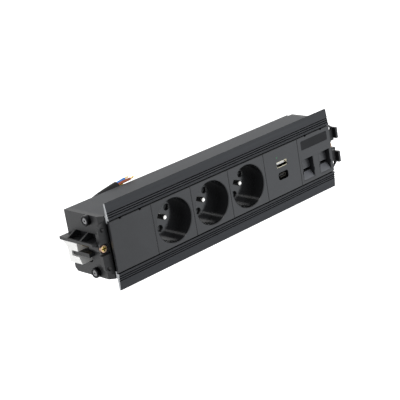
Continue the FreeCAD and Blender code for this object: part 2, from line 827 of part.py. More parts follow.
def terminal_block():
    """The block that joins the supply cable to the bars, with its three screws."""
    whole = block(("terminal_left", "terminal_right"), both("terminal_half"),
                  ("bar_under", "-terminal_top"))
    rows = ["pole_bar_near + bar_width / 2", "-pole_bar_near - bar_width / 2",
            "earth_bar_near + bar_width / 2"]
    cuts = []
    screws = []
    for y in rows:
        cuts.append(block(("bar_left - terminal_play", "terminal_right + past"),
                          about(y, "bar_width / 2 + terminal_play"),
                          ("bar_under - past", "bar_top + terminal_play")))
        cuts.append(rod("X", "terminal_wire_radius",
                        (y, "bar_top + terminal_wire_radius + terminal_screw_head"),
                        ("terminal_left - past", "bar_left")))
        cuts.append(rod("Z", "terminal_screw_radius + terminal_play",
                        ("terminal_screw_x", y), ("bar_top", "0")))
        head = fuse(rod("Z", "terminal_screw_radius", ("terminal_screw_x", y),
                        ("-terminal_top - terminal_screw_head", "-terminal_top")),
                    rod("Z", "terminal_screw_shank", ("terminal_screw_x", y),
                        ("bar_top", "-terminal_top - terminal_screw_head")))
        slot = block(about("terminal_screw_x", "terminal_screw_radius + past"),
                     about(y, "cross_width / 3"),
                     ("-terminal_top - terminal_screw_head / 2", "0"))
        screws.append(cut(head, slot))
    piece("terminal_block", cut(whole, *cuts))
    piece("terminal_screws", group(*screws))


def charger_front():
    """The charger's plate with its two outlets and the hole for its light."""
    deep = ("plate_under - past", "face_height + past")
    flat_a = rounded(both("usb_a_width / 2"), about("usb_a_y", "usb_a_height / 2"), deep,
                     "shell_wall")
    pocket = rounded(both("usb_c_pocket_width / 2"), about("usb_c_y", "usb_c_pocket_height / 2"),
                     ("face_height - usb_c_pocket_depth", "face_height + past"),
                     "usb_c_pocket_round")
    mouth = rounded(both("usb_c_width / 2 + shell_play"),
                    about("usb_c_y", "usb_c_height / 2 + shell_play"), deep,
                    "usb_c_height / 2")
    light = rod("Z", "light_radius + pin_play", ("light_x", "light_y"), deep)
    piece("charger_front", cut(module_plate(False), flat_a, pocket, mouth, light), "usb_centre")


def charger_inside():
    """The charger behind the plate: housing, board and the parts on the board."""
    outer_y = both("base_half_height")
    housing = block(both("housing_half_width"), outer_y, ("-base_bottom", "plate_under"))
    room = block(both("housing_half_width - housing_wall"),
                 both("base_half_height - housing_wall"),
                 ("housing_wall - base_bottom", "plate_under + past"))
    posts = []
    for side in ("", "-"):
        for edge in ("", "-"):
            centre = ("%s(board_half_width - post_inset)" % side,
                      "%s(board_half_height - post_inset)" % edge)
            posts.append(rod("Z", "post_radius", centre, ("-base_bottom", "board_under")))
    tabs = []
    holes = []
    for side in ("", "-"):
        y = about("%s(pole_bar_near + bar_width / 2)" % side, "bar_thickness / 2")
        x = about("feed_tab_x + post_inset", "feed_tab_width / 2")
        tabs.append(block(x, y, ("bar_top", "board_under")))
        holes.append(block(about("feed_tab_x + post_inset", "feed_tab_width / 2 + pin_play"),
                           about("%s(pole_bar_near + bar_width / 2)" % side,
                                 "bar_thickness / 2 + pin_play"),
                           ("-base_bottom - past", "board_under")))
    place = "usb_centre"
    piece("charger_housing", cut(fuse(cut(housing, room), *posts), *holes), place)
    piece("charger_feed_tabs", group(*tabs), place)
    piece("charger_board", block(both("board_half_width"), both("board_half_height"),
                                 ("board_under", "-board_top")), place)
    piece("charger_transformer",
          rounded(about("transformer_x", "transformer_half"), both("transformer_half"),
                  ("board_under - transformer_height", "board_under"), "post_radius / 2"),
          place)
    piece("charger_capacitor",
          rod("Z", "capacitor_radius", ("capacitor_x", "0"),
              ("board_under - capacitor_height", "board_under")), place)


def charger_outlets():
    """The metal shells and tongues of both outlets and the light guide."""
    place = "usb_centre"
    a_half = "usb_a_width / 2 - shell_play"
    a_high = "usb_a_height / 2 - shell_play"
    a_ends = ("-board_top", "face_height - usb_a_shell_drop")
    shell = rounded(both(a_half), about("usb_a_y", a_high), a_ends, "2 * shell_wall")
    inner = block(both("%s - shell_wall" % a_half), about("usb_a_y", "%s - shell_wall" % a_high),
                  ("shell_floor - board_top", "face_height + past"))
    piece("flat_outlet_shell", cut(shell, inner), place)
    tongue = block(both("tongue_width / 2"),
                   about("usb_a_y + tongue_shift", "tongue_height / 2"),
                   ("shell_floor - board_top", "face_height - tongue_drop"))
    piece("flat_outlet_tongue", tongue, place)

    c_ends = ("-board_top", "face_height - usb_c_pocket_depth")
    shell = rounded(both("usb_c_width / 2"), about("usb_c_y", "usb_c_height / 2"), c_ends,
                    "usb_c_height / 2 - least_flat")
    inner = rounded(both("usb_c_width / 2 - shell_wall"),
                    about("usb_c_y", "usb_c_height / 2 - shell_wall"),
                    ("shell_floor - board_top", "face_height + past"),
                    "usb_c_height / 2 - shell_wall - least_flat")
    piece("oval_outlet_shell", cut(shell, inner), place)
    tongue = block(both("usb_c_tongue_width / 2"), about("usb_c_y", "usb_c_tongue_height / 2"),
                   ("shell_floor - board_top",
                    "face_height - usb_c_pocket_depth - usb_c_tongue_drop"))
    piece("oval_outlet_tongue", tongue, place)
    guide = rod("Z", "light_radius", ("light_x", "light_y"), ("-board_top", "face_height"))
    piece("light_guide", guide, place)


def data_module():
    """The data plate, its clear label window and two sloping blanking inserts."""
    centres = both("insert_pitch / 2")
    cuts = [rounded(both("label_width / 2"), about("label_y", "label_height / 2"),
                    ("face_height - label_depth", "face_height + past"), "label_round")]
    insert_y = ("insert_bottom", "insert_top")
    for middle in centres:
        cuts.append(block(about(middle, "insert_width / 2"), insert_y,
                          ("plate_under - past", "face_height + past")))
    place = "data_centre"
    piece("data_plate", cut(module_plate(True), *cuts), place)
    window = rounded(both("label_width / 2 - label_play"),
                     about("label_y", "label_height / 2 - label_play"),
                     ("face_height - label_depth", "face_height"), "label_round")
    piece("label_window", window, place)

    for number, middle in enumerate(centres, start=1):
        inner_x = about(middle, "insert_width / 2 - insert_play")
        top = "insert_top - insert_play"
        bottom = "insert_bottom + insert_play"
        floor = "face_height - insert_depth"
        tilted = "%s + insert_tilt" % floor
        under = "%s - insert_skin" % floor
        flap = [(top, under), (top, floor), ("insert_gap_top", tilted),
                ("insert_gap_top", under)]
        ramp = [("insert_gap_bottom", under), ("insert_gap_bottom", floor),
                ("%s + insert_side" % bottom, "face_height"), (bottom, "face_height"),
                (bottom, under)]
        parts = [prism("YZ", flap, inner_x), prism("YZ", ramp, inner_x)]
        for side in ("", "-"):
            outer = "(%s) %s (insert_width / 2 - insert_play)" % (middle, side or "+")
            inner = "(%s) %s (insert_width / 2 - insert_play - insert_side)" % (middle, side or "+")
            x = sorted((outer, inner), key=value)
            parts.append(block(x, (bottom, top), (under, "face_height")))
        rim = block(about(middle, "insert_width / 2 + insert_rim"),
                    ("insert_bottom + insert_play", "insert_top + insert_rim"),
                    ("plate_under - insert_rim", "plate_under"))
        well = block(about(middle, "insert_width / 2 - insert_play"), (bottom, top),
                     ("plate_under - 2 * insert_rim", "face_height"))
        parts.append(cut(rim, well))
        back = block(inner_x, (top, "insert_top + insert_rim"), (under, "plate_under"))
        parts.append(back)
        piece("data_insert_%d" % number, fuse(*parts), place)


def cowl_screw_places():
    """The two places where the cable cowl is screwed to the channel's back."""
    middle_x = "(cowl_left + cowl_right) / 2"
    middle_y = "(cowl_near + cowl_far) / 2"
    return [("cowl_left - cowl_flange / 2", middle_y), (middle_x, "cowl_near - cowl_flange / 2")]


def cable_cowl():
    """The cowl that leads the supply cable out along the channel's back."""
    flange = ("-body_depth - cowl_flange_thickness", "-body_depth")
    x = ("cowl_left", "cowl_right")
    y = ("cowl_near", "cowl_far")
    parts = [
        block(x, y, ("cowl_under", "-body_depth")),
        block(("cowl_left - cowl_flange", "cowl_left"), y, flange),
        block(x, ("cowl_near - cowl_flange", "cowl_near"), flange),
    ]
    cuts = [
        block(("cowl_left + cowl_wall", "cowl_right - cowl_mouth"),
              ("cowl_near + cowl_wall", "cowl_far - cowl_wall"),
              ("cowl_under + cowl_wall", "past - body_depth")),
        rod("X", "cable_radius + pin_play", ("cable_y", "-cable_depth"),
            ("cable_start", "cowl_right + past")),
    ]
    screws = []
    for centre in cowl_screw_places():
        under = "-body_depth - cowl_flange_thickness"
        cuts.append(rod("Z", "cowl_screw_radius", centre, (under + " - past", "0")))
        head = fuse(rod("Z", "cowl_screw_head", centre,
                        ("%s - cowl_screw_height" % under, under)),
                    rod("Z", "cowl_screw_radius", centre, (under, "2 * wall - body_depth")))
        screws.append(head)
    piece("cable_cowl", cut(fuse(*parts), *cuts))
    piece("cowl_screws", group(*screws))


# The share of the shorter run beside a corner that its bend takes.
BEND_SHARE = 0.45


def route_wire(name, points):
    """Straight runs joined by tangent arcs as large as each two runs allow."""
    edges = []
    start = points[0]
    for before, corner, after in zip(points, points[1:], points[2:]):
        back = before - corner
        ahead = after - corner
        turn = math.pi - back.getAngle(ahead)
        trim = BEND_SHARE * min(back.Length, ahead.Length)
        radius = trim / math.tan(turn / 2)
        back.normalize()
        ahead.normalize()
        inward = back + ahead
        inward.normalize()
        middle = corner + inward * (radius / math.cos(turn / 2) - radius)
        enter = corner + back * trim
        leave = corner + ahead * trim
        edges.append(Part.LineSegment(start, enter).toShape())
        edges.append(Part.Arc(enter, middle, leave).toShape())
        start = leave
        print("%s bend radius %.1f mm" % (name, radius))
    edges.append(Part.LineSegment(start, points[-1]).toShape())
    return Part.Wire(edges)


def swept(name, places, radius):
    """A round solid along a route, its section set on the route's first run."""
    back = value("body_depth")
    points = [V(x, y, -back - drop) for x, y, drop in places]
    wire = route_wire(name, points)
    circle = Part.Circle(points[0], points[1] - points[0], radius)
    section = Part.Wire([circle.toShape()])
    solid = wire.makePipeShell([section], True, True)
    expected = math.pi * radius ** 2 * wire.Length
    print("%s length %.1f mm, volume %.4f of section times length"
          % (name, wire.Length, solid.Volume / expected))
    cord = DOC.addObject("Part::Feature", name)
    cord.Shape = solid
    return cord


# The routes of the supply cable, its cores and their bare ends. Each place is X, Y and the
# drop behind the channel's back, in millimetres.
SHEATH_ROUTE = [(-127.9, 17.7, 4.9), (-112.8, 17.7, 4.9), (-105.0, 21.4, 4.9),
                (-93.0, 24.4, 4.9), (-77.4, 26.6, 4.9)]
BROWN_ROUTE = [(-77.58, 28.19, 2.8), (-73.12, 28.81, 2.87), (-63.6, 29.0, 2.8)]
BLUE_ROUTE = [(-77.69, 28.68, 5.3), (-73.23, 29.3, 5.37), (-67.5, 30.0, 5.4)]
EARTH_ROUTE = [(-77.25, 25.71, 3.2), (-74.28, 26.12, 3.25), (-72.0, 26.3, 3.2)]
BROWN_STRAND = [(-63.6, 29.0, 2.8), (-61.9, 29.03, 2.79), (-59.4, 30.0, 2.7)]
BLUE_STRAND = [(-67.5, 30.0, 5.4), (-66.2, 30.16, 5.41), (-63.8, 30.7, 5.2)]


def cable():
    """The supply cable's sheath, its cores and the bare ends of two of them."""
    piece("cable_sheath", swept("sheath", SHEATH_ROUTE, value("cable_radius")))
    cores = {"core_brown": BROWN_ROUTE, "core_blue": BLUE_ROUTE, "core_earth": EARTH_ROUTE}
    for name, route in cores.items():
        piece(name, swept(name, route, value("core_radius")))
    strands = [swept("brown_strand", BROWN_STRAND, value("strand_radius")),
               swept("blue_strand", BLUE_STRAND, value("strand_radius"))]
    piece("bare_strands", group(*strands))


def export():
    """Check every object and piece, then write one file for each piece."""
    DOC.recompute()
    for thing in DOC.Objects:
        if "Invalid" in thing.State or "Error" in thing.State:
            raise RuntimeError("%s is in state %s" % (thing.Name, thing.State))
    for thing in PIECES:
        if thing.Shape.isNull() or not thing.Shape.isValid():
            raise RuntimeError("%s has no valid shape" % thing.Label)
    os.makedirs("parts", exist_ok=True)
    for thing in PIECES:
        thing.Shape.exportStep("parts/%s.step" % thing.Label)
    print("%d pieces written" % len(PIECES))


def build():
    """Make every piece in turn."""
    fill_sheet()
    channel()
    for name, sign, turn in (("right", "", 0), ("left", "-", 180)):
        end_cap(name, sign, turn, name == "right")
        clamp(name, sign, turn)
        cap_screws(name, sign, turn)
    piece("blank_plate", module_plate(True), "blank_centre")
    for number in (1, 2, 3):
        name = str(number)
        place = "module_pitch * %d / 2" % (2 * number - 5)
        socket_front(name, place)
        socket_base(name, place)
        earth_pin(name, place)
        pole_contacts(name, place)
        shutter(name, place)
    bars_and_tray()
    terminal_block()
    charger_front()
    charger_inside()
    charger_outlets()
    data_module()
    cable_cowl()
    cable()
    export()


build()
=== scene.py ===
import math

import bmesh
import bpy
from mathutils import Matrix, Vector


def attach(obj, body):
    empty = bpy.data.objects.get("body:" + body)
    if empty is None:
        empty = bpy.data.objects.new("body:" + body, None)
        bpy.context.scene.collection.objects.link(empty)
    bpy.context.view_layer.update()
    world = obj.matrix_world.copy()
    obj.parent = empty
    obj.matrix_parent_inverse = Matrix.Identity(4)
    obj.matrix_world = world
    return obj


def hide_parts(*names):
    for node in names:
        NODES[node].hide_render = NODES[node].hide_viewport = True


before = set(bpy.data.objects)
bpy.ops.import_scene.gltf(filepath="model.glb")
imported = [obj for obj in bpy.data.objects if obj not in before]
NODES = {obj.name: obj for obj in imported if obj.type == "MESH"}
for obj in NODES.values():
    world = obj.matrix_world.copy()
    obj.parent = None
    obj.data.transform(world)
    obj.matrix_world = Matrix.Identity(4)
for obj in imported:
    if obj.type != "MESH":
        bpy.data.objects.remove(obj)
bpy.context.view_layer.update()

# Looks of the in-desk power module. Lengths are in metres, in the module's own frame:
# +X along the channel, +Z out of the desk, Z = 0 where the flanges rest on the desk.

MM = 0.001

# The photograph's camera: its place and axes, its sensor and focal length in millimetres
# for a square frame, and the nearest and furthest distance it sees.
CAMERA_PLACE = (-0.6973, 0.3497, 0.7896)
CAMERA_RIGHT = (0.7208, -0.1579, 0.6749)
CAMERA_UP = (0.3280, 0.9355, -0.1315)
SENSOR_WIDTH = 36.0
FOCAL_LENGTH = 113.13
NEAREST = 0.05
FURTHEST = 20.0

# The pale room: its colour, the light it throws, and how much brighter it is to the camera
# and in reflections.
ROOM_COLOUR = (0.965, 0.98, 1.0, 1.0)
ROOM_LIGHT = 0.35
ROOM_GLOW = 0.60

# The square lamps: place, target, size, power and colour.
WHITE = (1.0, 1.0, 1.0)
MIDDLE = (0.0, 0.0, 0.0)
LAMPS = {
    "key": ((-0.05, 0.95, 1.00), MIDDLE, 0.18, 2.2, WHITE),
    "fill": ((0.55, 0.35, 0.90), MIDDLE, 0.40, 4.8, WHITE),
    "sheen": ((0.76, -0.33, 0.75), (0.05, 0.0, 0.0), 0.5, 0.7, (0.88, 0.93, 1.0)),
    "left": ((-1.25, 0.10, -0.05), MIDDLE, 0.9, 9.5, WHITE),
}

# The floor: its height, half its side, its colour, and its glow to the camera and in
# reflections.
FLOOR_HEIGHT = -0.30
FLOOR_HALF = 4.0
FLOOR_COLOUR = (0.8, 0.8, 0.8, 1.0)
FLOOR_GLOW = 0.95

# The noise levels between which a finish turns from its first tone to its second.
TONE_LEVELS = (0.3, 0.7)

# The plastics' slow drift of tone and fine grain: how often each repeats in a metre, the
# roughness that the grain takes off and spans, and the strength and depth of its relief.
DRIFT_SCALE = 35.0
GRAIN_SCALE = 2600.0
GRAIN_BELOW = 0.06
GRAIN_SPAN = 0.14
GRAIN_RELIEF = 0.25
GRAIN_DEPTH = 0.00012

# The dark plastic of the plates: its colour, how far its tone drifts, its roughness, and a
# level just under the plates' faces.
GRAPHITE = (0.0165, 0.0172, 0.0190)
GRAPHITE_DRIFT = 0.1
PLATE_ROUGHNESS = 0.30
UNDER_FACE = 0.0031

# The round recesses: their middles along X, their radius and the top of their walls, the
# share of the plate's tone that gives their painted shade, and their polish: its roughness
# and what the grain adds to it, and the strength of its relief.
SOCKET_PLACES = (-0.0675, -0.0225, 0.0225)
RECESS_RADIUS = 0.01955
RECESS_TOP = 0.0028
RECESS_SHADE_TONE = 0.6
RECESS_ROUGHNESS = 0.145
RECESS_SPAN = 0.02
RECESS_RELIEF = 0.005

# The flanges' sloping top, from its height beside the lip, and the depths below it that
# belong to the grooves, which are painted darker as shade.
FLANGE_ROOT = 0.0031
FLANGE_SLOPE = (3.1 - 1.6) / (38.3 - 24.9)
LIP_HALF = 0.0249
GROOVE_DEPTHS = (0.00010, 0.00090)

# The channel's opening, the top of the ledges in it, which are painted near black as
# shade, and how squarely its sawn ends face along X.
OPENING_HALF = 0.0238
LEDGE_TOP = 0.0030
SAWN_FACING = 0.9

# The cap screws' axes across and along a cap, and the bright screw inside each sleeve:
# its bottom and top along X, its radius, its bevel, a rounding point on the bevel, half
# the width and the depth of its hex recess, and the corners of its outline.
CAP_SCREW_PLACE = (0.02325, -0.0187)
SCREW_FLOOR = 0.14115
SCREW_TOP = 0.14335
SCREW_RADIUS = 0.00285
SCREW_BEVEL = 0.00035
SCREW_ROUND = (0.00010, 0.00012)
HEX_HALF = 0.00085
HEX_DEPTH = 0.0014
SCREW_STEPS = 48

# The clamp screws' axes, the height of their heads, the depth that counts as in the cross
# recess and the radius round it, and how far up the bevel and the flank face at most; the
# cross recess, the bevel and the flank are painted darker as shade.
CLAMP_X = 0.1399
CLAMP_TOP = -0.0037
CROSS_DEPTH = 0.00015
CROSS_RADIUS = 0.0024
BEVEL_FACING = 0.9
FLANK_FACING = 0.35

# The pocket round the oval outlet, where shade is painted, the rim of the flat outlet's
# shell, and how far its side wall, which is painted as lit, faces along X at most.
POCKET_PLACE = (0.0675, -0.0045)
POCKET_HALF = (0.00645, 0.0037)
SHELL_RIM = 0.0025
LIT_WALL_FACING = -0.5

# The pockets in the caps' walls, where shade is painted: the walls' outer face, and the
# pockets' ends in the cap's own directions.
CAP_FACE = 0.1398
POCKET_ACROSS = (-0.0117, -0.0052)
POCKET_ALONG = (-0.0386, -0.0079)

# The slit across the data inserts, between its upper and lower edge, how far up their
# slopes and how far sideways their walls face at least, and the shares of the plate's tone
# for painted light on the slopes and their foot, and for painted shade on walls and slit.
SLIT_TOP = -0.0098
SLIT_BOTTOM = -0.0130
SLOPE_FACING = 0.6
WALL_FACING = 0.5
SLOPE_LIGHT_TONE = 2.9
FOOT_LIGHT_TONE = 7.0
INSERT_SHADE_TONE = 1.7

# The metals' slow drift of tone and handling marks: how often each repeats in a metre, the
# share of the darker tone, the roughness taken off and added by the marks, the least
# roughness, and the depth of the marks.
METAL_DRIFT_SCALE = 60.0
MARKS_SCALE = 900.0
METAL_DARK = 0.86
MARKS_BELOW = 0.08
MARKS_ABOVE = 0.1
SMOOTHEST = 0.03
MARKS_DEPTH = 0.00005

# The radii of the supply cable's sheath, its cores and their bare ends, the order of their
# curves, and the steps along and round them.
SHEATH_RADIUS = 0.0042
CORE_RADIUS = 0.00125
STRAND_RADIUS = 0.00075
CORD_ORDER = 3
CORD_STEPS = 12
CORD_ROUND = 8

# The supply cable's route, its cores and their bare ends, as in the part. Each place is
# X, Y and the drop behind the channel's back, in millimetres.
BACK_DEPTH = 50.3
SHEATH_ROUTE = [(-127.9, 17.7, 4.9), (-112.8, 17.7, 4.9), (-105.0, 21.4, 4.9),
                (-93.0, 24.4, 4.9), (-77.4, 26.6, 4.9)]
BROWN_ROUTE = [(-77.58, 28.19, 2.8), (-73.12, 28.81, 2.87), (-63.6, 29.0, 2.8)]
BLUE_ROUTE = [(-77.69, 28.68, 5.3), (-73.23, 29.3, 5.37), (-67.5, 30.0, 5.4)]
EARTH_ROUTE = [(-77.25, 25.71, 3.2), (-74.28, 26.12, 3.25), (-72.0, 26.3, 3.2)]
BROWN_STRAND = [(-63.6, 29.0, 2.8), (-61.9, 29.03, 2.79), (-59.4, 30.0, 2.7)]
BLUE_STRAND = [(-67.5, 30.0, 5.4), (-66.2, 30.16, 5.41), (-63.8, 30.7, 5.2)]


def add_object(name, data):
    """An object that shows its data in the scene."""
    thing = bpy.data.objects.new(name, data)
    bpy.context.scene.collection.objects.link(thing)
    return thing


def make_camera():
    """The camera that took the photograph."""
    data = bpy.data.cameras.new("camera")
    data.sensor_width = SENSOR_WIDTH
    data.lens = FOCAL_LENGTH
    data.clip_start = NEAREST
    data.clip_end = FURTHEST
    camera = add_object("camera", data)
    right = Vector(CAMERA_RIGHT).normalized()
    up = Vector(CAMERA_UP)
    up = (up - right * up.dot(right)).normalized()
    back = right.cross(up)
    turn = Matrix((right, up, back)).transposed()
    camera.matrix_world = Matrix.Translation(CAMERA_PLACE) @ turn.to_4x4()
    bpy.context.scene.camera = camera


def area_lamp(name, place, target, size, power, colour):
    """A square soft lamp that faces a target."""
    data = bpy.data.lights.new(name, "AREA")
    data.shape = "SQUARE"
    data.size = size
    data.energy = power
    data.color = colour
    lamp = add_object(name, data)
    lamp.location = place
    aim = Vector(target) - Vector(place)
    lamp.rotation_mode = "QUATERNION"
    lamp.rotation_quaternion = aim.to_track_quat("-Z", "Y")


def seen_level(tree, glow, light):
    """A level of light plus a glow for camera, glossy and transmission rays."""
    path = tree.nodes.new("ShaderNodeLightPath")
    seen = path.outputs["Is Camera Ray"]
    for name in ("Is Glossy Ray", "Is Transmission Ray"):
        either = tree.nodes.new("ShaderNodeMath")
        either.operation = "MAXIMUM"
        tree.links.new(seen, either.inputs[0])
        tree.links.new(path.outputs[name], either.inputs[1])
        seen = either.outputs["Value"]
    level = tree.nodes.new("ShaderNodeMath")
    level.operation = "MULTIPLY_ADD"
    tree.links.new(seen, level.inputs[0])
    level.inputs[1].default_value = glow
    level.inputs[2].default_value = light
    return level.outputs["Value"]


def make_lights():
    """A soft studio in a pale room that shines for the camera and in reflections."""
    scene = bpy.context.scene
    scene.view_settings.view_transform = "Standard"
    world = bpy.data.worlds.new("studio")
    scene.world = world
    world.use_nodes = True
    tree = world.node_tree
    background = tree.nodes["Background"]
    background.inputs["Color"].default_value = ROOM_COLOUR
    level = seen_level(tree, ROOM_GLOW, ROOM_LIGHT)
    tree.links.new(level, background.inputs["Strength"])
    for name, lamp in LAMPS.items():
        area_lamp(name, *lamp)


class Shader:
    """A material under construction, with short ways to add and join nodes."""

    def __init__(self, name, **settings):
        """Start a material, with plain values for its surface where they are given."""
        self.material = bpy.data.materials.new(name)
        self.material.use_nodes = True
        self.tree = self.material.node_tree
        self.surface = self.tree.nodes["Principled BSDF"]
        for key, setting in settings.items():
            self.surface.inputs[key.replace("_", " ").title()].default_value = setting

    def gloss(self, level):
        """Set how strongly the surface reflects."""
        self.surface.inputs["Specular IOR Level"].default_value = level

    def add(self, kind, **settings):
        """A new node of a kind."""
        node = self.tree.nodes.new("ShaderNode" + kind)
        for key, setting in settings.items():
            setattr(node, key, setting)
        return node

    def join(self, source, target):
        """A link from an output to a socket."""
        self.tree.links.new(source, target)

    def put(self, value, socket):
        """Join an output to a socket, or set a plain value on it."""
        if isinstance(value, bpy.types.NodeSocket):
            self.join(value, socket)
        else:
            socket.default_value = value

    def feed(self, source, name):
        """Join an output to one of the surface's own sockets."""
        self.join(source, self.surface.inputs[name])

    def place(self):
        """The surface point in the module's frame, in metres."""
        return self.add("NewGeometry").outputs["Position"]

    def parts(self, vector):
        """A vector's X, Y and Z outputs."""
        node = self.add("SeparateXYZ")
        self.join(vector, node.inputs["Vector"])
        return node.outputs

    def facing(self):
        """The X, Y and Z outputs of the way that the surface faces."""
        return self.parts(self.add("NewGeometry").outputs["Normal"])

    def noise(self, scale, detail=4.0, rough=0.6, stretch=None):
        """Fractal noise over the surface point."""
        node = self.add("TexNoise")
        node.inputs["Scale"].default_value = scale
        node.inputs["Detail"].default_value = detail
        node.inputs["Roughness"].default_value = rough
        source = self.place()
        if stretch:
            mapping = self.add("Mapping")
            mapping.inputs["Scale"].default_value = stretch
            self.join(source, mapping.inputs["Vector"])
            source = mapping.outputs["Vector"]
        self.join(source, node.inputs["Vector"])
        return node.outputs["Fac"]

    def tones(self, factor, first, second, levels=TONE_LEVELS):
        """A colour that turns from a first to a second tone between two levels."""
        node = self.add("ValToRGB")
        for element, level, colour in zip(node.color_ramp.elements, levels, (first, second)):
            element.position = level
            element.color = (*colour, 1.0)
        self.join(factor, node.inputs["Fac"])
        return node.outputs["Color"]

    def math(self, operation, *values):
        """The result of one sum on outputs and plain numbers."""
        node = self.add("Math", operation=operation)
        for number, value in enumerate(values):
            self.put(value, node.inputs[number])
        return node.outputs["Value"]

    def above(self, value, limit):
        """1 where a value is above a limit, and else 0."""
        return self.math("GREATER_THAN", value, limit)

    def below(self, value, limit):
        """1 where a value is below a limit, and else 0."""
        return self.math("LESS_THAN", value, limit)

    def range(self, value, low, high):
        """1 where a value lies between two limits, and else 0."""
        return self.both(self.above(value, low), self.below(value, high))

    def both(self, first, second):
        """1 where two masks are 1, and else 0."""
        return self.math("MULTIPLY", first, second)

    def either(self, first, second):
        """1 where one of two masks is 1, and else 0."""
        return self.math("MAXIMUM", first, second)

    def distance(self, across, along):
        """The length across two directions at right angles."""
        square = self.math("MULTIPLY_ADD", across, across, self.math("MULTIPLY", along, along))
        return self.math("SQRT", square)

    def blend(self, factor, first, second):
        """Two colours mixed by a factor."""
        node = self.add("Mix", data_type="RGBA")
        self.put(factor, node.inputs["Factor"])
        colours = [plug for plug in node.inputs if plug.type == "RGBA"]
        for socket, colour in zip(colours, (first, second)):
            self.put((*colour, 1.0) if isinstance(colour, tuple) else colour, socket)
        return [plug for plug in node.outputs if plug.type == "RGBA"][0]

    def between(self, factor, first, second):
        """Two numbers mixed by a factor."""
        change = self.math("SUBTRACT", second, first)
        return self.math("MULTIPLY_ADD", change, factor, first)

    def bump(self, factor, strength, depth):
        """Small relief."""
        node = self.add("Bump")
        self.put(strength, node.inputs["Strength"])
        node.inputs["Distance"].default_value = depth
        self.join(factor, node.inputs["Height"])
        self.feed(node.outputs["Normal"], "Normal")

    def wear(self, marks, low, high, strength, depth):
        """A metal's handling marks, in its roughness and as relief."""
        node = self.add("MapRange")
        node.inputs["To Min"].default_value = low
        node.inputs["To Max"].default_value = high
        self.join(marks, node.inputs["Value"])
        self.feed(node.outputs["Result"], "Roughness")
        self.bump(marks, strength, depth)

    def plastic(self, shade, roughness, mask=None, smooth=0.0, change=0.0,
                strength=GRAIN_RELIEF):
        """A plastic's tone and fine grain, with another roughness in a mask if one is given."""
        self.feed(shade, "Base Color")
        grain = self.noise(GRAIN_SCALE, detail=3.0, rough=0.7)
        rough = self.math("MULTIPLY_ADD", grain, GRAIN_SPAN, roughness - GRAIN_BELOW)
        if mask:
            inner = self.math("MULTIPLY_ADD", grain, change, smooth)
            rough = self.between(mask, rough, inner)
        self.feed(rough, "Roughness")
        self.bump(grain, strength, GRAIN_DEPTH)

    def drifting(self, colour=GRAPHITE, drift=GRAPHITE_DRIFT):
        """A colour that drifts slowly, darker and lighter."""
        return self.tones(self.noise(DRIFT_SCALE, detail=3.0), scaled(colour, 1 - drift),
                          scaled(colour, 1 + drift))


def scaled(colour, factor):
    """A colour made lighter or darker."""
    return tuple(channel * factor for channel in colour)


def moulded(name, colour, roughness, grain=1.0, drift=0.12, gloss=0.5):
    """A moulded plastic with a fine eroded grain and a slight drift of tone."""
    shader = Shader(name)
    shader.gloss(gloss)
    shader.plastic(shader.drifting(colour, drift), roughness, strength=GRAIN_RELIEF * grain)
    return shader.material


def socket_plastic():
    """The sockets' plastic: the plate's fine grain, and a polished recess with painted shade."""
    shader = Shader("socket_plastic")
    spot = shader.parts(shader.place())
    recess = shader.below(spot["Z"], RECESS_TOP)
    inside = None
    for middle in SOCKET_PLACES:
        away = shader.distance(shader.math("SUBTRACT", spot["X"], middle), spot["Y"])
        near = shader.below(away, RECESS_RADIUS)
        inside = near if inside is None else shader.either(inside, near)
    recess = shader.both(inside, recess)
    # Painted shade: the recesses take a darker share of the plate's tone.
    shade = shader.blend(recess, shader.drifting(), scaled(GRAPHITE, RECESS_SHADE_TONE))
    strength = shader.between(recess, GRAIN_RELIEF, RECESS_RELIEF)
    shader.plastic(shade, PLATE_ROUGHNESS, recess, RECESS_ROUGHNESS, RECESS_SPAN, strength)
    return shader.material


def insert_plastic():
    """The data inserts' plastic: painted light on the slopes, painted shade on side walls and
    slit.
    """
    shader = Shader("insert_plastic")
    spot = shader.parts(shader.place())
    facing = shader.facing()
    upward = shader.above(facing["Z"], SLOPE_FACING)
    slope = shader.both(upward, shader.below(spot["Z"], UNDER_FACE))
    foot = shader.both(slope, shader.below(spot["Y"], SLIT_BOTTOM))
    wall = shader.above(shader.math("ABSOLUTE", facing["X"]), WALL_FACING)
    dark = shader.either(wall, shader.range(spot["Y"], SLIT_BOTTOM, SLIT_TOP))
    # Painted light: paler slopes and foot. Painted shade: the side walls and the slit turn near
    # black through the metallic switch.
    shade = shader.blend(slope, shader.drifting(), scaled(GRAPHITE, SLOPE_LIGHT_TONE))
    shade = shader.blend(foot, shade, scaled(GRAPHITE, FOOT_LIGHT_TONE))
    shade = shader.blend(dark, shade, scaled(GRAPHITE, INSERT_SHADE_TONE))
    shader.feed(dark, "Metallic")
    shader.plastic(shade, PLATE_ROUGHNESS + GRAIN_BELOW, dark, smooth=0.85)
    return shader.material


def charger_plastic():
    """The charger's plate, dark and matt inside the oval outlet's pocket as painted shade."""
    shader = Shader("charger_plastic")
    spot = shader.parts(shader.place())
    inside = shader.below(spot["Z"], UNDER_FACE)
    for axis, middle, half in zip("XY", POCKET_PLACE, POCKET_HALF):
        away = shader.math("ABSOLUTE", shader.math("SUBTRACT", spot[axis], middle))
        inside = shader.both(inside, shader.below(away, half))
    # Painted shade: the pocket is near black.
    shade = shader.blend(inside, shader.drifting(), (0.004, 0.004, 0.0045))
    shader.feed(inside, "Metallic")
    shader.plastic(shade, PLATE_ROUGHNESS, inside, smooth=1.0)
    return shader.material


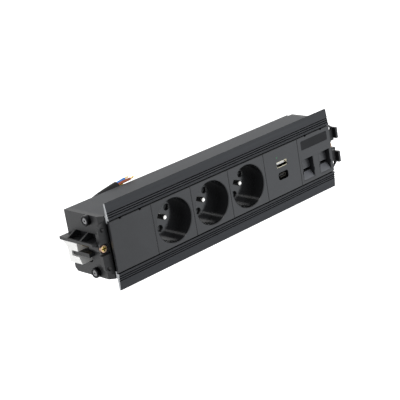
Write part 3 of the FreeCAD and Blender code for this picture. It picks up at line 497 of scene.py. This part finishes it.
def cap_plastic():
    """The end caps' plastic, with painted shade inside the pockets behind their shelves."""
    shader = Shader("cap_plastic")
    shader.gloss(0.36)
    spot = shader.parts(shader.place())
    across = shader.math("MULTIPLY", spot["Y"], shader.math("SIGN", spot["X"]))
    inside = shader.below(shader.math("ABSOLUTE", spot["X"]), CAP_FACE)
    inside = shader.both(inside, shader.range(across, *POCKET_ACROSS))
    inside = shader.both(inside, shader.range(spot["Z"], *POCKET_ALONG))
    shade = shader.tones(shader.noise(DRIFT_SCALE, detail=3.0), (0.0075, 0.0077, 0.0085),
                         (0.0105, 0.0108, 0.0118))
    # Painted shade: the pockets are near black, through a dark metallic finish.
    shade = shader.blend(inside, shade, (0.026, 0.0265, 0.029))
    shader.feed(inside, "Metallic")
    shader.plastic(shade, 0.46, inside, smooth=0.8)
    return shader.material


def anodised():
    """Black anodised extrusion, drawn along X, bare at its sawn ends, with painted shade in
    grooves and ledges.
    """
    shader = Shader("anodised_channel")
    shader.gloss(0.20)
    lines = shader.noise(240.0, detail=3.0, rough=0.5, stretch=(0.03, 1.0, 1.0))
    spot = shader.parts(shader.place())
    away = shader.math("ABSOLUTE", spot["Y"])
    slope = shader.math("MULTIPLY_ADD", away, -FLANGE_SLOPE, FLANGE_ROOT + FLANGE_SLOPE * LIP_HALF)
    depth = shader.math("SUBTRACT", slope, spot["Z"])
    groove = shader.both(shader.range(depth, *GROOVE_DEPTHS), shader.above(away, LIP_HALF))
    ledge = shader.both(shader.below(away, OPENING_HALF), shader.below(spot["Z"], LEDGE_TOP))
    sawn = shader.above(shader.math("ABSOLUTE", shader.facing()["X"]), SAWN_FACING)
    shade = shader.tones(lines, (0.033, 0.035, 0.039), (0.044, 0.0465, 0.051))
    # Painted shade: the grooves are darker.
    shade = shader.blend(groove, shade, (0.007, 0.0074, 0.008))
    # Painted shade: the ledges in the opening are near black.
    shade = shader.blend(ledge, shade, (0.003, 0.003, 0.0034))
    shade = shader.blend(sawn, shade, (0.42, 0.43, 0.44))
    shader.feed(shade, "Base Color")
    dull = shader.either(groove, ledge)
    rough = shader.math("MULTIPLY_ADD", lines, 0.10, 0.46)
    shader.feed(shader.between(dull, 0.15, 1.0), "Metallic")
    shader.feed(shader.between(dull, rough, 0.85), "Roughness")
    shader.bump(lines, strength=0.05, depth=0.00003)
    return shader.material


def metal(name, colour, roughness, stretch=None, relief=0.1):
    """A plated or bare metal with fine handling marks."""
    shader = Shader(name, metallic=1.0)
    drift = shader.noise(METAL_DRIFT_SCALE)
    shader.feed(shader.tones(drift, scaled(colour, METAL_DARK), colour), "Base Color")
    marks = shader.noise(MARKS_SCALE, detail=5.0, rough=0.65, stretch=stretch)
    low = max(roughness - MARKS_BELOW, SMOOTHEST)
    shader.wear(marks, low, roughness + MARKS_ABOVE, relief, MARKS_DEPTH)
    return shader.material


def sleeve_steel():
    """Blackened steel, nearly black and finely marked."""
    shader = Shader("black_steel", metallic=1.0)
    shade = shader.tones(shader.noise(300.0), (0.009, 0.009, 0.010), (0.017, 0.017, 0.0185))
    shader.feed(shade, "Base Color")
    shader.wear(shader.noise(1400.0), low=0.26, high=0.40, strength=0.15, depth=0.00004)
    return shader.material


def clamp_brass():
    """Plated brass: a pinkish worn head, yellow round the cross recess, and painted shade in it
    and on the bevel and flank.
    """
    shader = Shader("brass_screw", metallic=1.0)
    spot = shader.parts(shader.place())
    facing = shader.facing()
    across = shader.math("SUBTRACT", shader.math("ABSOLUTE", spot["X"]), CLAMP_X)
    away = shader.distance(across, spot["Y"])
    near = shader.below(away, CROSS_RADIUS)
    cross = shader.both(near, shader.below(spot["Z"], CLAMP_TOP - CROSS_DEPTH))
    outer = shader.above(away, CROSS_RADIUS)
    bevel = shader.both(shader.below(facing["Z"], BEVEL_FACING), outer)
    flank = shader.both(shader.below(facing["Z"], FLANK_FACING), outer)
    drift = shader.noise(350.0)
    pink = shader.tones(drift, (0.60, 0.38, 0.27), (0.80, 0.55, 0.40))
    gold = shader.tones(drift, (0.66, 0.50, 0.14), (0.84, 0.68, 0.26))
    shade = shader.blend(near, pink, gold)
    # Painted shade: the cross recess, the bevel and the flank are darker.
    shade = shader.blend(cross, shade, (0.26, 0.17, 0.04))
    shade = shader.blend(bevel, shade, (0.17, 0.115, 0.085))
    shade = shader.blend(flank, shade, (0.022, 0.014, 0.010))
    shader.feed(shade, "Base Color")
    shader.wear(shader.noise(1100.0), low=0.26, high=0.42, strength=0.2, depth=0.00005)
    return shader.material


def outlet_shell():
    """The flat outlet's plated shell: pale gold on the rim and on the side wall painted as lit,
    and near black inside as painted shade.
    """
    shader = Shader("pale_gold", metallic=1.0)
    rim = shader.above(shader.parts(shader.place())["Z"], SHELL_RIM)
    # Painted light and shade: only the rim and the wall facing -X keep the gold, and the rest is
    # painted near black.
    bright = shader.either(rim, shader.below(shader.facing()["X"], LIT_WALL_FACING))
    drift = shader.noise(400.0)
    gold = shader.tones(drift, (0.72, 0.66, 0.46), (0.88, 0.83, 0.66))
    shader.feed(shader.blend(bright, (0.006, 0.0055, 0.005), gold), "Base Color")
    shader.wear(drift, low=0.22, high=0.36, strength=0.1, depth=0.00003)
    return shader.material


def striped(name, first, second):
    """A two-coloured core with lengthwise stripes."""
    shader = Shader(name, roughness=0.42)
    wave = shader.add("TexWave", bands_direction="Z")
    wave.inputs["Scale"].default_value = 260.0
    wave.inputs["Distortion"].default_value = 0.6
    shader.join(shader.place(), wave.inputs["Vector"])
    shader.feed(shader.tones(wave.outputs["Fac"], first, second, (0.45, 0.55)), "Base Color")
    shader.bump(shader.noise(1500.0), strength=0.1, depth=0.00005)
    return shader.material


def paint(material, *names):
    """Give CAD nodes whose names start so a material."""
    for name, thing in NODES.items():
        if name.startswith(names):
            for slot in thing.material_slots:
                slot.material = material
            if not thing.material_slots:
                thing.data.materials.append(material)


def paint_plastics():
    """The finish of every plastic CAD node."""
    paint(moulded("graphite_plastic", GRAPHITE, PLATE_ROUGHNESS, drift=0.2),
          "blank_plate", "data_plate")
    paint(insert_plastic(), "data_insert")
    paint(socket_plastic(), "socket_front")
    paint(charger_plastic(), "charger_front")
    paint(cap_plastic(), "end_cap", "cable_cowl")
    paint(moulded("inner_plastic", (0.022, 0.022, 0.024), roughness=0.55),
          "screw_collar", "socket_base", "bar_tray", "charger_housing",
          "charger_transformer", "oval_outlet_tongue")
    paint(moulded("grey_plastic", (0.12, 0.125, 0.13), roughness=0.5),
          "terminal_block", "shutter")
    paint(moulded("white_nylon", (0.90, 0.895, 0.875), roughness=0.4, grain=0.5, drift=0.03),
          "clamp_claw")
    paint(moulded("white_plastic", (0.85, 0.85, 0.84), roughness=0.35, grain=0.1, drift=0.04),
          "flat_outlet_tongue")
    paint(moulded("green_light", (0.018, 0.13, 0.050), roughness=0.3, grain=0.2),
          "light_guide")
    paint(moulded("board_green", (0.02, 0.12, 0.045), roughness=0.35, grain=0.4),
          "charger_board")
    paint(moulded("black_film", (0.02, 0.02, 0.022), roughness=0.3, grain=0.4),
          "charger_capacitor")
    paint(moulded("label_window", (0.012, 0.0125, 0.014), roughness=0.62, grain=3.0,
                  drift=0.35, gloss=0.2), "label_window")


def paint_metals():
    """The finish of every metal CAD node."""
    paint(anodised(), "channel")
    paint(clamp_brass(), "clamp_screw")
    paint(metal("brass_plate", (0.78, 0.60, 0.32), roughness=0.28),
          "live_contact", "neutral_contact", "charger_feed_tabs")
    paint(metal("copper_bar", (0.80, 0.48, 0.34), roughness=0.3, stretch=(0.05, 1.0, 1.0)),
          "live_bar", "neutral_bar", "earth_bar")
    paint(metal("nickel", (0.86, 0.84, 0.80), roughness=0.09), "earth_pin")
    paint(metal("bright_steel", (0.78, 0.78, 0.80), roughness=0.22),
          "terminal_screws", "cowl_screws")
    paint(outlet_shell(), "flat_outlet_shell")
    paint(metal("dull_steel", (0.07, 0.066, 0.055), roughness=0.5), "oval_outlet_shell")
    paint(sleeve_steel(), "cap_screw")


def at(place):
    """A place of a route in metres."""
    x, y, drop = place
    return (x * MM, y * MM, (-BACK_DEPTH - drop) * MM)


def round_cord(name, route, radius, material):
    """A smooth round cord with the route's points as its control points."""
    curve = bpy.data.curves.new(name, "CURVE")
    curve.dimensions = "3D"
    spline = curve.splines.new("NURBS")
    spline.points.add(len(route) - 1)
    for point, place in zip(spline.points, route):
        point.co = (*at(place), 1.0)
    spline.order_u = CORD_ORDER
    spline.use_endpoint_u = True
    spline.resolution_u = CORD_STEPS
    curve.bevel_depth = radius
    curve.bevel_resolution = CORD_ROUND
    curve.use_fill_caps = True
    curve.materials.append(material)
    cord = add_object(name, curve)
    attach(cord, "module")
    return cord


def make_cable():
    """The supply cable: a black sheath, three cores and two bare ends."""
    rubber = moulded("black_sheath", (0.012, 0.012, 0.013), roughness=0.6, grain=0.6, gloss=0.2)
    brown_skin = moulded("brown_core", (0.40, 0.105, 0.045), roughness=0.55, grain=0.3,
                         drift=0.08, gloss=0.3)
    blue_skin = moulded("blue_core", (0.09, 0.30, 0.78), roughness=0.5, grain=0.3,
                        drift=0.08, gloss=0.4)
    earth_skin = striped("earth_core", (0.10, 0.32, 0.05), (0.62, 0.60, 0.06))
    twist = (1.0, 6.0, 6.0)
    copper = metal("copper_strands", (0.66, 0.44, 0.14), 0.35, twist, relief=0.5)
    golden = metal("gold_strands", (0.66, 0.48, 0.18), 0.35, twist, relief=0.5)
    brown = round_cord("brown_core", BROWN_ROUTE, CORE_RADIUS, brown_skin)
    blue = round_cord("blue_core", BLUE_ROUTE, CORE_RADIUS, blue_skin)
    earth = round_cord("earth_core", EARTH_ROUTE, CORE_RADIUS, earth_skin)
    brown_strand = round_cord("brown_strand", BROWN_STRAND, STRAND_RADIUS, copper)
    blue_strand = round_cord("blue_strand", BLUE_STRAND, STRAND_RADIUS, golden)
    sheath = round_cord("supply_sheath", SHEATH_ROUTE, SHEATH_RADIUS, rubber)
    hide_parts("cable_sheath")
    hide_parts("core_brown")
    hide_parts("core_blue")
    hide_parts("core_earth")
    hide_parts("bare_strands")
    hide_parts("bare_strands")


def round_reach(radius):
    """How far a round ring reaches at each of its corners."""
    return [radius] * SCREW_STEPS


def hex_reach(half):
    """How far a six-sided ring reaches at each of its corners, from half its width."""
    sixth = math.pi / 3
    return [half / math.cos(2 * math.pi * step / SCREW_STEPS % sixth - sixth / 2)
            for step in range(SCREW_STEPS)]


def screw_mesh(name, side, half):
    """A bright round screw with a bevelled face and a hex recess, at one end and edge."""
    rings = [
        (SCREW_FLOOR, round_reach(SCREW_RADIUS)),
        (SCREW_TOP - SCREW_BEVEL, round_reach(SCREW_RADIUS)),
        (SCREW_TOP - SCREW_ROUND[0], round_reach(SCREW_RADIUS - SCREW_ROUND[1])),
        (SCREW_TOP, round_reach(SCREW_RADIUS - SCREW_BEVEL)),
        (SCREW_TOP, hex_reach(HEX_HALF)),
        (SCREW_TOP - HEX_DEPTH, hex_reach(HEX_HALF)),
    ]
    across, along = CAP_SCREW_PLACE
    shape = bmesh.new()
    loops = []
    for end, reaches in rings:
        loop = []
        for step, reach in enumerate(reaches):
            angle = 2 * math.pi * step / SCREW_STEPS
            loop.append(shape.verts.new((side * end, half * across + reach * math.cos(angle),
                                         along + reach * math.sin(angle))))
        loops.append(loop)
    shape.faces.new(loops[0])
    shape.faces.new(loops[-1])
    for lower, upper in zip(loops, loops[1:]):
        for step in range(SCREW_STEPS):
            following = (step + 1) % SCREW_STEPS
            shape.faces.new((lower[step], lower[following], upper[following], upper[step]))
    bmesh.ops.recalc_face_normals(shape, faces=list(shape.faces))
    mesh = bpy.data.meshes.new(name)
    shape.to_mesh(mesh)
    shape.free()
    return mesh


def make_screws():
    """The bright screws seated in the black sleeves of the caps."""
    steel = metal("screw_face", (0.19, 0.19, 0.195), roughness=0.35, relief=0.15)
    for side, end in ((-1, "left"), (1, "right")):
        for half, edge in ((-1, "lower"), (1, "upper")):
            name = "screw_face_%s_%s" % (end, edge)
            screw = add_object(name, screw_mesh(name, side, half))
            screw.data.materials.append(steel)
            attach(screw, "module")


def make_floor():
    """A white floor that glows for the camera and in reflections and keeps the shadow."""
    mesh = bpy.data.meshes.new("floor")
    corners = [(x * FLOOR_HALF, y * FLOOR_HALF, FLOOR_HEIGHT)
               for x, y in ((-1, -1), (1, -1), (1, 1), (-1, 1))]
    mesh.from_pydata(corners, [], [(0, 1, 2, 3)])
    floor = add_object("floor", mesh)
    shader = Shader("floor_white", base_color=FLOOR_COLOUR, roughness=0.9)
    shader.gloss(0.0)
    light = shader.add("Emission")
    light.inputs["Color"].default_value = (*WHITE, 1.0)
    shader.join(seen_level(shader.tree, FLOOR_GLOW, 0.0), light.inputs["Strength"])
    total = shader.add("AddShader")
    shader.join(shader.surface.outputs["BSDF"], total.inputs[0])
    shader.join(light.outputs["Emission"], total.inputs[1])
    output = shader.tree.nodes["Material Output"]
    shader.join(total.outputs["Shader"], output.inputs["Surface"])
    mesh.materials.append(shader.material)


make_camera()
make_lights()
paint_plastics()
paint_metals()
make_cable()
make_screws()
make_floor()
